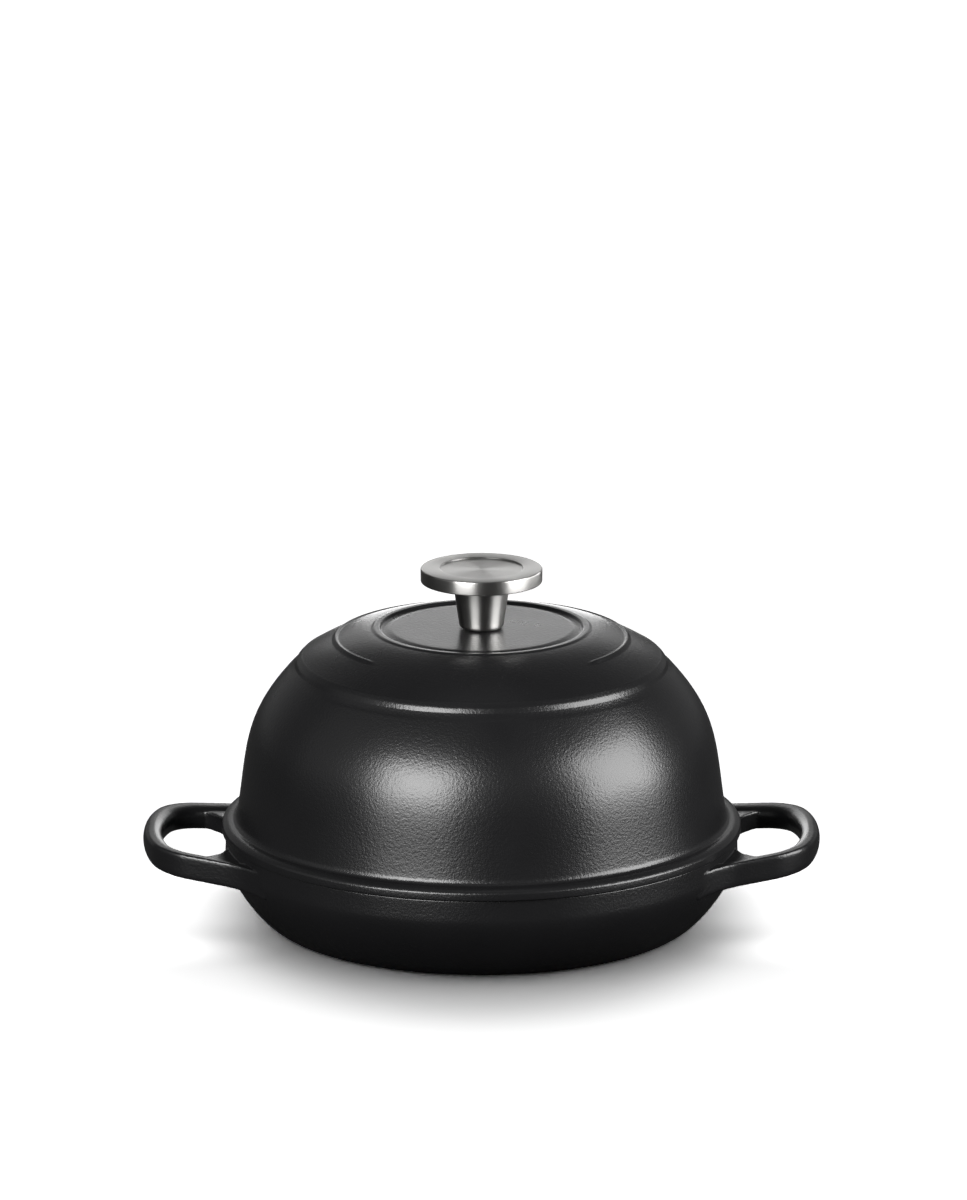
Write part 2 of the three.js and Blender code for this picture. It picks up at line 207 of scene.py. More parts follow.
plain_steel = bpy.data.materials.new("plain_pressed_steel")
plain_steel.use_nodes = True
tree = plain_steel.node_tree
tree.nodes.clear()
place = add(tree, "ShaderNodeTexCoord").outputs["Object"]
grain = add(tree, "ShaderNodeTexNoise", {"Vector": place, "Scale": 1 / (PRESS_GRAIN * MM), "Detail": 3})
sheen = add(
    tree, "ShaderNodeMapRange", {"Value": grain, "To Min": PRESSED_GLOSSIEST, "To Max": PRESSED_DULLEST}
)
metal = add(
    tree,
    "ShaderNodeBsdfPrincipled",
    {"Base Color": linear(PRESSED_GREY), "Metallic": 1.0, "Roughness": sheen},
)
add(tree, "ShaderNodeOutputMaterial", {"Surface": metal})
print("materials:", [finish.name for finish in (enamel, turned_steel, plain_steel)])

# %% [markdown]
# ## Turning an outline into a piece
# Every piece but the handles is round about the pot's axis, so each is drawn as an outline of radius and
# height and turned. A Screw modifier would do that, but the pan's floor has ribs that repeat and the lid
# has a raised bead that stops short of the front, so a Geometry Nodes tree does the turning. It bends a
# grid round the axis, ring by ring along the outline, and lifts ring-shaped ridges where the outline
# says that they may rise. The ridges repeat inwards at a pitch, and can be left open across the front.

# %% Inputs of the turning tree
turning = bpy.data.node_groups.new("turning", "GeometryNodeTree")
KINDS = {
    "Outline": "Geometry",
    "Segments": "Int",
    "Ridge Height": "Float",
    "Ridge Width": "Float",
    "Ridge Pitch": "Float",
    "Outer Ridge": "Float",
    "Front Opening": "Float",
    "Opening Taper": "Float",
    "Finish": "Material",
}
socket_of = {
    label: turning.interface.new_socket(label, in_out="INPUT", socket_type="NodeSocket" + kind).identifier
    for label, kind in KINDS.items()
}
turning.interface.new_socket("Piece", in_out="OUTPUT", socket_type="NodeSocketGeometry")
given = add(turning, "NodeGroupInput").outputs
print("turning tree takes", ", ".join(KINDS))

# %% [markdown]
# Each point of the grid belongs to one ring, which follows one point of the outline, and to one column,
# which stands at one angle. Both are counted from the point's index, and the outline is read at the ring.

# %% Rings and columns
rings = add(turning, "GeometryNodeAttributeDomainSize", {"Geometry": given["Outline"]})
ring_count = rings.outputs["Point Count"]
columns = add(turning, "ShaderNodeMath", {0: given["Segments"], 1: 1.0}, operation="ADD")
grid = add(turning, "GeometryNodeMeshGrid", {"Vertices X": ring_count, "Vertices Y": columns})
index = add(turning, "GeometryNodeInputIndex")
row = add(turning, "ShaderNodeMath", {0: index, 1: columns}, operation="DIVIDE")
ring = add(turning, "ShaderNodeMath", {0: row}, operation="FLOOR")
column = add(turning, "ShaderNodeMath", {0: index, 1: columns}, operation="MODULO")
step = add(turning, "ShaderNodeMath", {0: math.tau, 1: given["Segments"]}, operation="DIVIDE")
turn = add(turning, "ShaderNodeMath", {0: column, 1: step, 2: -math.pi}, operation="MULTIPLY_ADD")

position = add(turning, "GeometryNodeInputPosition")
point = add(
    turning,
    "GeometryNodeSampleIndex",
    {"Geometry": given["Outline"], "Value": position, "Index": ring},
    data_type="FLOAT_VECTOR",
)
marked = add(turning, "GeometryNodeInputNamedAttribute", {"Name": "ridged"}, data_type="FLOAT")
ridged = add(
    turning,
    "GeometryNodeSampleIndex",
    {"Geometry": given["Outline"], "Value": marked, "Index": ring},
    data_type="FLOAT",
)
radius, _, height = add(turning, "ShaderNodeSeparateXYZ", {"Vector": point}).outputs
print(len(turning.nodes), "nodes place the rings")

# %% [markdown]
# A ridge rises where the radius is near a ridge's own, found by folding the distance at half a pitch. It
# fades out towards the front opening, whose ends taper.

# %% Ridges
half_pitch = add(turning, "ShaderNodeMath", {0: given["Ridge Pitch"], 1: 0.5}, operation="MULTIPLY")
half_width = add(turning, "ShaderNodeMath", {0: given["Ridge Width"], 1: 0.5}, operation="MULTIPLY")
inwards = add(turning, "ShaderNodeMath", {0: radius, 1: given["Outer Ridge"]}, operation="SUBTRACT")
off_ridge = add(turning, "ShaderNodeMath", {0: inwards, 1: half_pitch}, operation="PINGPONG")
bell = add(
    turning,
    "ShaderNodeMapRange",
    {"Value": off_ridge, "From Min": half_width, "From Max": 0.0},
    interpolation_type="SMOOTHSTEP",
)
off_front = add(turning, "ShaderNodeMath", {0: turn}, operation="ABSOLUTE")
end = add(turning, "ShaderNodeMath", {0: given["Front Opening"], 1: 0.5}, operation="MULTIPLY")
full = add(turning, "ShaderNodeMath", {0: end, 1: given["Opening Taper"]}, operation="ADD")
fade = add(
    turning,
    "ShaderNodeMapRange",
    {"Value": off_front, "From Min": end, "From Max": full},
    interpolation_type="SMOOTHSTEP",
)
lift = add(turning, "ShaderNodeMath", {0: bell, 1: fade}, operation="MULTIPLY")
lift = add(turning, "ShaderNodeMath", {0: lift, 1: ridged}, operation="MULTIPLY")
raised = add(
    turning, "ShaderNodeMath", {0: lift, 1: given["Ridge Height"], 2: height}, operation="MULTIPLY_ADD"
)
print(len(turning.nodes), "nodes with the ridges")

# %% [markdown]
# Radius and angle give each point its place, with the first column at the back and the middle one at the
# front. The seam and the points on the axis are merged, and the piece gets its finish.

# %% Bend and finish
sine = add(turning, "ShaderNodeMath", {0: turn}, operation="SINE")
cosine = add(turning, "ShaderNodeMath", {0: turn}, operation="COSINE")
across = add(turning, "ShaderNodeMath", {0: radius, 1: sine}, operation="MULTIPLY")
deep = add(turning, "ShaderNodeMath", {0: radius, 1: cosine}, operation="MULTIPLY")
front_first = add(turning, "ShaderNodeMath", {0: deep, 1: -1.0}, operation="MULTIPLY")
bent = add(turning, "ShaderNodeCombineXYZ", {"X": across, "Y": front_first, "Z": raised})
shaped = add(turning, "GeometryNodeSetPosition", {"Geometry": grid, "Position": bent})
closed = add(turning, "GeometryNodeMergeByDistance", {"Geometry": shaped, "Distance": 1e-6})
real = add(turning, "GeometryNodeRealizeInstances", {"Geometry": closed})
finished = add(turning, "GeometryNodeSetMaterial", {"Geometry": real, "Material": given["Finish"]})
add(turning, "NodeGroupOutput", {"Piece": finished})
print("turning tree:", len(turning.nodes), "nodes")

# %% [markdown]
# Outlines are Bezier runs of points: two controls make a straight line, three round a corner and four
# make a free curve. Points that fall on one another are dropped.

# %% Outline helpers
def run(*controls, steps=2):
    share = np.linspace(0, 1, steps)[:, None]
    rows = [np.array(control, float) for control in controls]
    while len(rows) > 1:
        rows = [near + (far - near) * share for near, far in zip(rows, rows[1:])]
    return rows[0]


def outline_of(*runs):
    points = np.vstack(runs)
    apart = np.linalg.norm(np.diff(points, axis=0), axis=1) > 1e-6
    return points[np.concatenate([[True], apart])]


print("a rounded corner in five points:", run((0, 0), (1, 0), (1, 1), steps=5).round(2).tolist())

# %% [markdown]
# The turned result is taken as plain mesh, so nothing is left to evaluate later, and a signed volume
# tells whether its faces look outwards. Shading is smooth except across sharp edges.

# %% Turning helpers
SHARP_EDGE = math.radians(32)
NO_RIDGES = {"Ridge Pitch": 1.0, "Opening Taper": 0.1, "Front Opening": -0.2}


def settle(piece):
    depsgraph = bpy.context.evaluated_depsgraph_get()
    mesh = bpy.data.meshes.new_from_object(piece.evaluated_get(depsgraph), depsgraph=depsgraph)
    piece.modifiers.clear()
    piece.data = mesh
    shell = bmesh.new()
    shell.from_mesh(mesh)
    if shell.calc_volume(signed=True) < 0:
        mesh.flip_normals()
    shell.free()
    mesh.shade_smooth()
    mesh.set_sharp_from_angle(angle=SHARP_EDGE)
    return piece


def turned(name, outline, finish, segments=192, ridged=None, **ridges):
    points = [(r * MM, 0, z * MM) for r, z in outline]
    sketch = bpy.data.meshes.new(name)
    sketch.from_pydata(points, [(i, i + 1) for i in range(len(points) - 1)], [])
    mark = sketch.attributes.new("ridged", "FLOAT", "POINT")
    mark.data.foreach_set("value", np.zeros(len(points)) if ridged is None else ridged)
    piece = bpy.data.objects.new(name, sketch)
    scene.collection.objects.link(piece)
    lathe = piece.modifiers.new("turning", "NODES")
    lathe.node_group = turning
    for label, value in (NO_RIDGES | {"Segments": segments, "Finish": finish} | ridges).items():
        lathe[socket_of[label]] = value
    return settle(piece)


def measured(piece):
    size = [round(length / MM, 1) for length in piece.dimensions]
    print(f"{piece.name}: {len(piece.data.polygons)} faces, {size} mm")
    return piece


print("edges sharper than", round(math.degrees(SHARP_EDGE)), "degrees stay crisp")

# %% [markdown]
# ## Pan
# The pan is one casting: a floor with low concentric ribs that keep a loaf off it, a wall that leaves
# the floor level, swings out and ends all but upright, and a rounded rim that carries the lid. The
# outline runs from the axis along the underside, up the outside, over the rim and back along the floor.
# The floor has a ring at every millimetre, so that one runs on the crest of each rib.

# %% Pan outline
RIM_RADIUS, RIM_HEIGHT = 124.4, 43.1
PAN_WALL, PAN_FLOOR = 4.4, 5.0
FOOT_RADIUS, FOOT_REACH = 101.6, 6.1
WALL_TOP, WALL_REACH = 33.4, 11.2
RIM_ROUND, RIM_LEAN = 0.8, 0.3
MOUTH_RADIUS = RIM_RADIUS - PAN_WALL


def wall(foot_height, top_radius, lean=0, steps=44):
    return run(
        (FOOT_RADIUS, foot_height),
        (FOOT_RADIUS + FOOT_REACH, foot_height),
        (top_radius + lean, WALL_TOP - WALL_REACH),
        (top_radius, WALL_TOP),
        steps=steps,
    )


rim_edge = RIM_RADIUS - RIM_LEAN
rim_low = RIM_HEIGHT - RIM_ROUND
bowl_outline = outline_of(
    run((0, 0), (FOOT_RADIUS, 0), steps=4),
    wall(0, RIM_RADIUS, lean=RIM_LEAN),
    run((RIM_RADIUS, WALL_TOP), (rim_edge, rim_low), steps=6),
    run((rim_edge, rim_low), (rim_edge, RIM_HEIGHT), (rim_edge - RIM_ROUND, RIM_HEIGHT), steps=7),
    run((MOUTH_RADIUS + RIM_ROUND, RIM_HEIGHT), (MOUTH_RADIUS, RIM_HEIGHT), (MOUTH_RADIUS, rim_low), steps=7),
    run((MOUTH_RADIUS, rim_low), (MOUTH_RADIUS, WALL_TOP), steps=5),
    wall(PAN_FLOOR, MOUTH_RADIUS, steps=24)[::-1],
    run((FOOT_RADIUS, PAN_FLOOR), (FOOT_RADIUS % 1, PAN_FLOOR), steps=int(FOOT_RADIUS) + 1),
    [(0, PAN_FLOOR)],
)
print("pan outline:", len(bowl_outline), "points, mouth", 2 * MOUTH_RADIUS, "mm across")

# %% [markdown]
# The outline is turned into the bowl. Only points on the floor, outside its flat middle, may rise into
# ribs, so the underside stays flat.

# %% Pan bowl
OUTER_RIB, RIB_HEIGHT, RIB_WIDTH, RIB_PITCH = 87.6, 1.2, 5, 20
FLAT_MIDDLE = 4

bowl_radii, bowl_heights = bowl_outline.T
on_floor = (bowl_radii > FLAT_MIDDLE) & (bowl_radii < OUTER_RIB + RIB_WIDTH)
on_floor &= np.isclose(bowl_heights, PAN_FLOOR)
pan = turned(
    "pan_casting",
    bowl_outline,
    enamel,
    ridged=on_floor.astype(float),
    **{
        "Ridge Height": RIB_HEIGHT * MM,
        "Ridge Width": RIB_WIDTH * MM,
        "Ridge Pitch": RIB_PITCH * MM,
        "Outer Ridge": OUTER_RIB * MM,
    },
)
measured(pan)

# %% [markdown]
# ## Loop handles
# Each handle is cast in one with the pan: two legs that splay from the wall, a bowed bar across them with
# round corners, and a web that fills the corner between leg and wall. The whole loop rises gently away
# from the pan. A curve with a bevel would give the bar alone, with the same section all along. Here the
# bar, the webs and a slice of wall just under the surface are lofted as plain solids, joined, remeshed in
# small voxels and smoothed, which melts the corners where they meet into the fillets of a sand casting.
# The plan comes first: an inner and an outer edge from the tip of the loop to its root.

# %% Plan of a handle
HANDLE_STANDOFF, HANDLE_WIDTH, HANDLE_DEPTH = 39.9, 9.7, 12.2
HANDLE_DROP, HANDLE_SLOPE = 8.3, math.tan(math.radians(6.2))
BAR_RADIUS, BAR_ANGLE = 87, math.radians(18.1)
CORNER_RADIUS, LEG_SPLAY = 23.6, math.radians(16.7)
ROOT_RADIUS = RIM_RADIUS - PAN_WALL / 2
ROOT_FLARE, FLARE_SINK = 15, 0.4


def way(angle):
    return np.array([math.cos(angle), math.sin(angle)])


def along_to(start, direction, radius):
    middle = start @ direction
    return start + direction * (-middle - math.sqrt(middle ** 2 - start @ start + radius ** 2))


bar_centre = np.array([RIM_RADIUS + HANDLE_STANDOFF - HANDLE_WIDTH / 2 - BAR_RADIUS, 0.0])
corner_centre = bar_centre + (BAR_RADIUS - CORNER_RADIUS) * way(BAR_ANGLE)
leg_turn = math.pi / 2 - LEG_SPLAY
leg_start = corner_centre + CORNER_RADIUS * way(leg_turn)
leg_way = np.array([-math.cos(LEG_SPLAY), math.sin(LEG_SPLAY)])
half_side = way(leg_turn) * HANDLE_WIDTH / 2

half_turns = [(bar_centre, BAR_RADIUS, a) for a in np.linspace(0, BAR_ANGLE, 15)]
half_turns += [(corner_centre, CORNER_RADIUS, a) for a in np.linspace(BAR_ANGLE, leg_turn, 17)[1:]]
inner_edge = [centre + (radius - HANDLE_WIDTH / 2) * way(a) for centre, radius, a in half_turns]
outer_edge = [centre + (radius + HANDLE_WIDTH / 2) * way(a) for centre, radius, a in half_turns]

outer_corner = along_to(leg_start + half_side, leg_way, RIM_RADIUS)
wall_turn = math.atan2(outer_corner[1], outer_corner[0]) + ROOT_FLARE / RIM_RADIUS
flare_end = way(wall_turn) * (RIM_RADIUS - FLARE_SINK)
flare = run(outer_corner - leg_way * ROOT_FLARE, outer_corner, flare_end, steps=13)
inner_root = along_to(leg_start - half_side, leg_way, ROOT_RADIUS)
outer_edge = np.vstack([outer_edge, flare])
inner_edge = np.vstack([inner_edge, run(inner_edge[-1], inner_root, steps=14)[1:]])
print(f"handle tip at x = {outer_edge[0][0]:.1f} mm, {len(outer_edge)} rings to each root")

# %% [markdown]
# A loft joins a row of rings with equal counts of points and closes both ends. A second helper sets a
# plan at the height of the sloping handle.

# %% Lofting helpers
def loft(name, rings):
    rings = np.asarray(rings, float)
    count, size = rings.shape[:2]
    faces = [
        (i * size + j, i * size + (j + 1) % size, (i + 1) * size + (j + 1) % size, (i + 1) * size + j)
        for i in range(count - 1)
        for j in range(size)
    ]
    faces += [tuple(range(size)), tuple(range((count - 1) * size, count * size))]
    mesh = bpy.data.meshes.new(name)
    mesh.from_pydata((rings.reshape(-1, 3) * MM).tolist(), [], faces)
    mesh.materials.append(enamel)
    shell = bmesh.new()
    shell.from_mesh(mesh)
    bmesh.ops.recalc_face_normals(shell, faces=shell.faces)
    shell.to_mesh(mesh)
    shell.free()
    solid = bpy.data.objects.new(name, mesh)
    scene.collection.objects.link(solid)
    return solid


def sloped(plan, heights):
    plan = np.asarray(plan, float)
    rise = RIM_HEIGHT - HANDLE_DROP + HANDLE_SLOPE * (plan[:, 0] - RIM_RADIUS)
    return np.column_stack([plan, rise + heights])


print(f"handle's middle at the rim: {sloped([(RIM_RADIUS, 0)], 0)[0, 2]:.1f} mm up")

# %% [markdown]
# The bar's section is a superellipse, because one number takes it from round to square. It is nearly
# round at the tip, where the hand grips it, and squarer on the legs, where the crest moves outwards and
# leaves a crisp outer edge.

# %% Bar of a handle
CREST_SHARE = 0.75
TIP_SQUARENESS, EDGE_SQUARENESS, INNER_SQUARENESS = 2.2, 5.0, 3.0
SQUARE_BEFORE_ROOT = 1.4
section_turns = np.linspace(0, math.tau, 48, endpoint=False)
outwards, upwards = np.cos(section_turns), np.sin(section_turns)
leg_squareness = np.where(outwards > 0, EDGE_SQUARENESS, INNER_SQUARENESS)

half = []
for inner, outer, share in zip(inner_edge, outer_edge, np.linspace(0, SQUARE_BEFORE_ROOT, len(inner_edge))):
    share = min(share, 1)
    power = 2 / (TIP_SQUARENESS + (leg_squareness - TIP_SQUARENESS) * share)
    crest = (inner + outer) / 2 + (outer - inner) / 2 * CREST_SHARE * share
    sides = np.where(outwards[:, None] > 0, outer - crest, crest - inner)
    plan = crest + sides * (np.sign(outwards) * np.abs(outwards) ** power)[:, None]
    half.append(sloped(plan, HANDLE_DEPTH / 2 * np.sign(upwards) * np.abs(upwards) ** power))
mirrored = [ring * (1, -1, 1) for ring in half[:0:-1]]
bar = loft("handle_bar", mirrored + half)
measured(bar)

# %% [markdown]
# Each web is a flat plate with a hollow free edge. The slice of wall lies just under the bowl's surface,
# so it shows nowhere itself, but the remesh needs it to round the corners between handle and wall.

# %% Webs and the wall behind them
WEB_LEG_REACH, WEB_WALL_REACH, WEB_HOLLOW = 22, 28, 5
WEB_DEPTH, WEB_DROP, WEB_OVERLAP = 9, 0.3, 0.4
SLICE_INSET, SLICE_DEPTH, SLICE_ANGLE = 0.25, 2.4, math.radians(36)
SLICE_START = 12

web_corner = along_to(leg_start - half_side, leg_way, RIM_RADIUS)
on_leg = web_corner - leg_way * WEB_LEG_REACH
on_wall = RIM_RADIUS * way(math.atan2(web_corner[1], web_corner[0]) - WEB_WALL_REACH / RIM_RADIUS)
edge_middle = (on_leg + on_wall) / 2
towards_corner = (web_corner - edge_middle) / np.linalg.norm(web_corner - edge_middle)
hollow = edge_middle + towards_corner * 2 * WEB_HOLLOW
web_plan = np.vstack([
    on_leg + half_side,
    along_to(leg_start, leg_way, ROOT_RADIUS),
    on_wall * ROOT_RADIUS / RIM_RADIUS,
    run(on_wall, hollow, on_leg + half_side * WEB_OVERLAP, steps=12),
])
webs = [
    loft("handle_web", [sloped(web_plan * (1, side), h - WEB_DROP) for h in (-WEB_DEPTH / 2, WEB_DEPTH / 2)])
    for side in (1, -1)
]
wall_line = wall(0, RIM_RADIUS, lean=RIM_LEAN)[SLICE_START:] - (SLICE_INSET, 0)
wall_line = np.vstack([wall_line, (rim_edge - SLICE_INSET, RIM_HEIGHT - 2 * RIM_ROUND)])
slice_outline = np.vstack([wall_line, wall_line[::-1] - (SLICE_DEPTH, 0)])
wall_slice = loft("wall_slice", [
    np.column_stack([slice_outline[:, :1] * way(a), slice_outline[:, 1]])
    for a in np.linspace(-SLICE_ANGLE, SLICE_ANGLE, 49)
])
print("web reaches", WEB_LEG_REACH, "mm along the leg and", WEB_WALL_REACH, "mm along the wall")

# %% [markdown]
# One handle is melted together and copied by half a turn about the axis, which keeps its faces outwards
# where a mirror would turn them in. The voxels are small enough for the crisp outer edge and large
# enough to keep the pan under 200,000 triangles. Both handles are then joined to the bowl, so that the
# pan is one closed mesh.

# %% Melt a handle and join both to the pan
VOXEL = 0.57
SMOOTHING, SMOOTHING_STEPS = 0.5, 5


def joined(piece, others):
    for other in others:
        union = piece.modifiers.new("union", "BOOLEAN")
        union.object = other
        union.operation = "UNION"
        union.solver = "EXACT"
    settle(piece)
    for other in others:
        bpy.data.objects.remove(other)
    return piece


handle = joined(bar, webs + [wall_slice])
melt = handle.modifiers.new("voxels", "REMESH")
melt.mode = "VOXEL"
melt.voxel_size = VOXEL * MM
soften = handle.modifiers.new("smoothing", "SMOOTH")
soften.factor = SMOOTHING
soften.iterations = SMOOTHING_STEPS
settle(handle)
measured(handle)
other_handle = bpy.data.objects.new("other_handle", handle.data.copy())
for vertex in other_handle.data.vertices:
    vertex.co.xy = -vertex.co.xy
scene.collection.objects.link(other_handle)
joined(pan, [handle, other_handle])
measured(pan)

# %% [markdown]
# ## Lid
# The lid is one casting too. A thin flange with a rolled top rests on the pan's rim, and a spigot under it
# drops inside the mouth. The dome leaves the flange through a tight fillet, leans in and bends over to a
# small step, the shoulder. From there the crown rises to a flat plateau that the knob stands on. A bead
# with a shallow groove inside it rings the plateau, and a second bead runs round the crown but stops
# short of the front. Heights are above the pan's rim.

# %% Crown of the lid
SHOULDER_RADIUS, SHOULDER_HEIGHT, SHOULDER_ROUND = 88.1, 86.1, 1.6
PLATEAU_RADIUS, PLATEAU_HEIGHT, CROWN_BEND = 51.3, 100.7, 1.6
BEAD_RADII = (0.0, 43.0, 48.0, 49.6, 51.6, 53.6, 200.0)
BEAD_RISES = (0.0, 0.0, -0.8, 0.5, 0.55, 0.0, 0.0)
SCREW_RADIUS, LID_HOLE_CLEARANCE = 3.0, 0.7


def crown(radii):
    share = np.maximum(radii - PLATEAU_RADIUS, 0) / (SHOULDER_RADIUS - PLATEAU_RADIUS)
    return PLATEAU_HEIGHT - (PLATEAU_HEIGHT - SHOULDER_HEIGHT) * share ** CROWN_BEND


def crown_run(outer, inner, steps):
    radii = np.linspace(outer, inner, steps)
    span = np.searchsorted(BEAD_RADII, radii) - 1
    near, far = np.array(BEAD_RADII)[span], np.array(BEAD_RADII)[span + 1]
    low, high = np.array(BEAD_RISES)[span], np.array(BEAD_RISES)[span + 1]
    share = (radii - near) / (far - near)
    return np.column_stack([radii, crown(radii) + low + (high - low) * share ** 2 * (3 - 2 * share)])


lid_hole = SCREW_RADIUS + LID_HOLE_CLEARANCE
groove_inner = BEAD_RADII[1]
shoulder_inner = SHOULDER_RADIUS - SHOULDER_ROUND
outer_crown = np.vstack([
    crown_run(shoulder_inner, groove_inner, 130),
    crown_run(groove_inner, lid_hole, 8),
])
print(f"bead's top {outer_crown[:, 1].max():.1f} mm above the rim")

# %% [markdown]
# The dome is one free curve from the flange to the shoulder. Two pulls set how long it keeps its draft
# at the foot and its slope at the top. A chain of arcs would need more sizes and could show its joints
# in a glow. The inside is the same kind of curve, set in by the wall's thickness.

# %% Dome of the lid
SPIGOT_CLEARANCE, DOME_SETBACK = 0.8, 0.7
DOME_FOOT, DOME_DRAFT, DOME_SLOPE = 9.1, math.radians(8.7), math.radians(46.4)
LOWER_PULL, UPPER_PULL = 35.0, 37.5
SHOULDER_STEP, SHOULDER_DROP = 2.0, 3.0
LID_WALL = 4.0
spigot_radius = MOUTH_RADIUS - SPIGOT_CLEARANCE
dome_radius = spigot_radius - DOME_SETBACK


def dome(inset, steps):
    foot = np.array([dome_radius - inset, DOME_FOOT])
    top = np.array([SHOULDER_RADIUS + SHOULDER_STEP, SHOULDER_HEIGHT - SHOULDER_DROP])
    top -= inset * np.array([math.sin(DOME_SLOPE), math.cos(DOME_SLOPE)])
    leave = foot + LOWER_PULL * np.array([-math.sin(DOME_DRAFT), math.cos(DOME_DRAFT)])
    arrive = top + UPPER_PULL * np.array([math.cos(DOME_SLOPE), -math.sin(DOME_SLOPE)])
    return run(foot, leave, arrive, top, steps=steps)


# The last points give way to the shoulder's step
outer_dome = dome(0, 70)[:-3]
inner_dome = dome(LID_WALL, 50)[::-1]
print(f"dome from {2 * dome_radius:.0f} mm to {2 * outer_dome[-1, 0]:.0f} mm across")

# %% [markdown]
# The outline goes once round the section: under the spigot, out along the flange, up the dome, over the
# step and the crown to the screw's hole, and back along the inside.

# %% Lid outline
SEAT_GAP = 0.3
SPIGOT_DEPTH, SPIGOT_CHAMFER = 3.5, 1.0
FLANGE_OVERHANG, FLANGE_THICKNESS, FLANGE_RISE = 1.6, 4.2, 1.8
FLANGE_ROUND, FLANGE_LEAN, FLANGE_ROLL = 0.7, 0.2, 1.5
FILLET_WIDTH = 2.2
SHOULDER_FOOT = (90.3, 82.1)
SHOULDER_BREAK = ((89.5, 84.1), (89.3, 84.55), (88.9, 85.0))
SHOULDER_CREST = ((87.6, 86.35), (87.1, 86.85))

edge = RIM_RADIUS + FLANGE_OVERHANG
leaned_edge = edge - FLANGE_LEAN
flange_top = FLANGE_THICKNESS + FLANGE_RISE
fillet_corner = (dome_radius + (DOME_FOOT - flange_top) * math.tan(DOME_DRAFT), flange_top)
fillet_start = (fillet_corner[0] + FILLET_WIDTH, flange_top)
plateau_under = PLATEAU_HEIGHT - LID_WALL
inner_slope = np.linspace(PLATEAU_RADIUS, SHOULDER_RADIUS - LID_WALL, 24)
lid_outline = outline_of(
    [(dome_radius - LID_WALL, -SPIGOT_DEPTH), (spigot_radius - SPIGOT_CHAMFER, -SPIGOT_DEPTH)],
    [(spigot_radius, SPIGOT_CHAMFER - SPIGOT_DEPTH), (spigot_radius, SEAT_GAP)],
    run((edge - FLANGE_ROUND, SEAT_GAP), (edge, SEAT_GAP), (edge, SEAT_GAP + FLANGE_ROUND), steps=6),
    run(
        (leaned_edge, FLANGE_THICKNESS - FLANGE_ROUND),
        (leaned_edge, FLANGE_THICKNESS),
        (leaned_edge - FLANGE_ROLL, flange_top),
        fillet_start,
        steps=16,
    ),
    run(fillet_start, fillet_corner, outer_dome[0], steps=16),
    outer_dome,
    run(SHOULDER_FOOT, SHOULDER_BREAK[0], steps=6),
    run(*SHOULDER_BREAK, steps=5),
    run(SHOULDER_BREAK[-1], SHOULDER_CREST[0], steps=4),
    run(*SHOULDER_CREST, (shoulder_inner, crown(shoulder_inner)), steps=6),
    outer_crown,
    run((lid_hole, plateau_under), (PLATEAU_RADIUS - LID_WALL, plateau_under), steps=20),
    np.column_stack([inner_slope - LID_WALL / 2, crown(inner_slope) - LID_WALL]),
    inner_dome,
    [(dome_radius - LID_WALL, -SPIGOT_DEPTH)],
)
print("lid outline:", len(lid_outline), "points, flange", 2 * edge, "mm across")

# %% [markdown]
# The outline is turned, and the second bead is lifted on the crown only. Its opening across the front is
# a little over a quarter of a turn.

# %% Lid casting
TIER_BEAD_RADIUS, TIER_BEAD_HEIGHT, TIER_BEAD_WIDTH = 70.6, 0.9, 3.4
TIER_BEAD_GAP, TIER_BEAD_TAPER = math.radians(93), math.radians(5)
BELOW_CROWN = 0.1

lid_radii, lid_heights = lid_outline.T
on_crown = (lid_heights >= crown(lid_radii) - BELOW_CROWN) & (lid_radii < shoulder_inner)
lid = turned(
    "lid_casting",
    lid_outline + (0, RIM_HEIGHT),
    enamel,
    ridged=on_crown.astype(float),
    **{
        "Ridge Height": TIER_BEAD_HEIGHT * MM,
        "Ridge Width": TIER_BEAD_WIDTH * MM,
        "Outer Ridge": TIER_BEAD_RADIUS * MM,
        "Front Opening": TIER_BEAD_GAP,
        "Opening Taper": TIER_BEAD_TAPER,
    },
)
measured(lid)

# %% [markdown]
# ## Knob
# The knob is a flat disc on a tapered stem, turned from one bar. Its top has one shallow dish, and its
# edges are broken with small rounds, which catch thin bright lines. A bevel on a plain lathe shape would
# round every edge alike, so each round is drawn in the outline at its own size.

# %% Knob
KNOB_RADIUS, KNOB_DISC, KNOB_EDGE = 29.4, 6.8, 0.8
DISH_RADIUS, DISH_DEPTH = 20.5, 0.8
DISH_LIP, DISH_SLOPE, DISH_FOOT, DISH_FLAT = 0.4, 0.6, 0.9, 1.6
STEM_HEIGHT, STEM_TOP, STEM_FOOT = 22.7, 13.7, 10.9
STEM_ROUND, STEM_FILLET = 2.2, 1.4
TAPPED_CLEARANCE, TAPPED_DEPTH = 0.3, 14.0

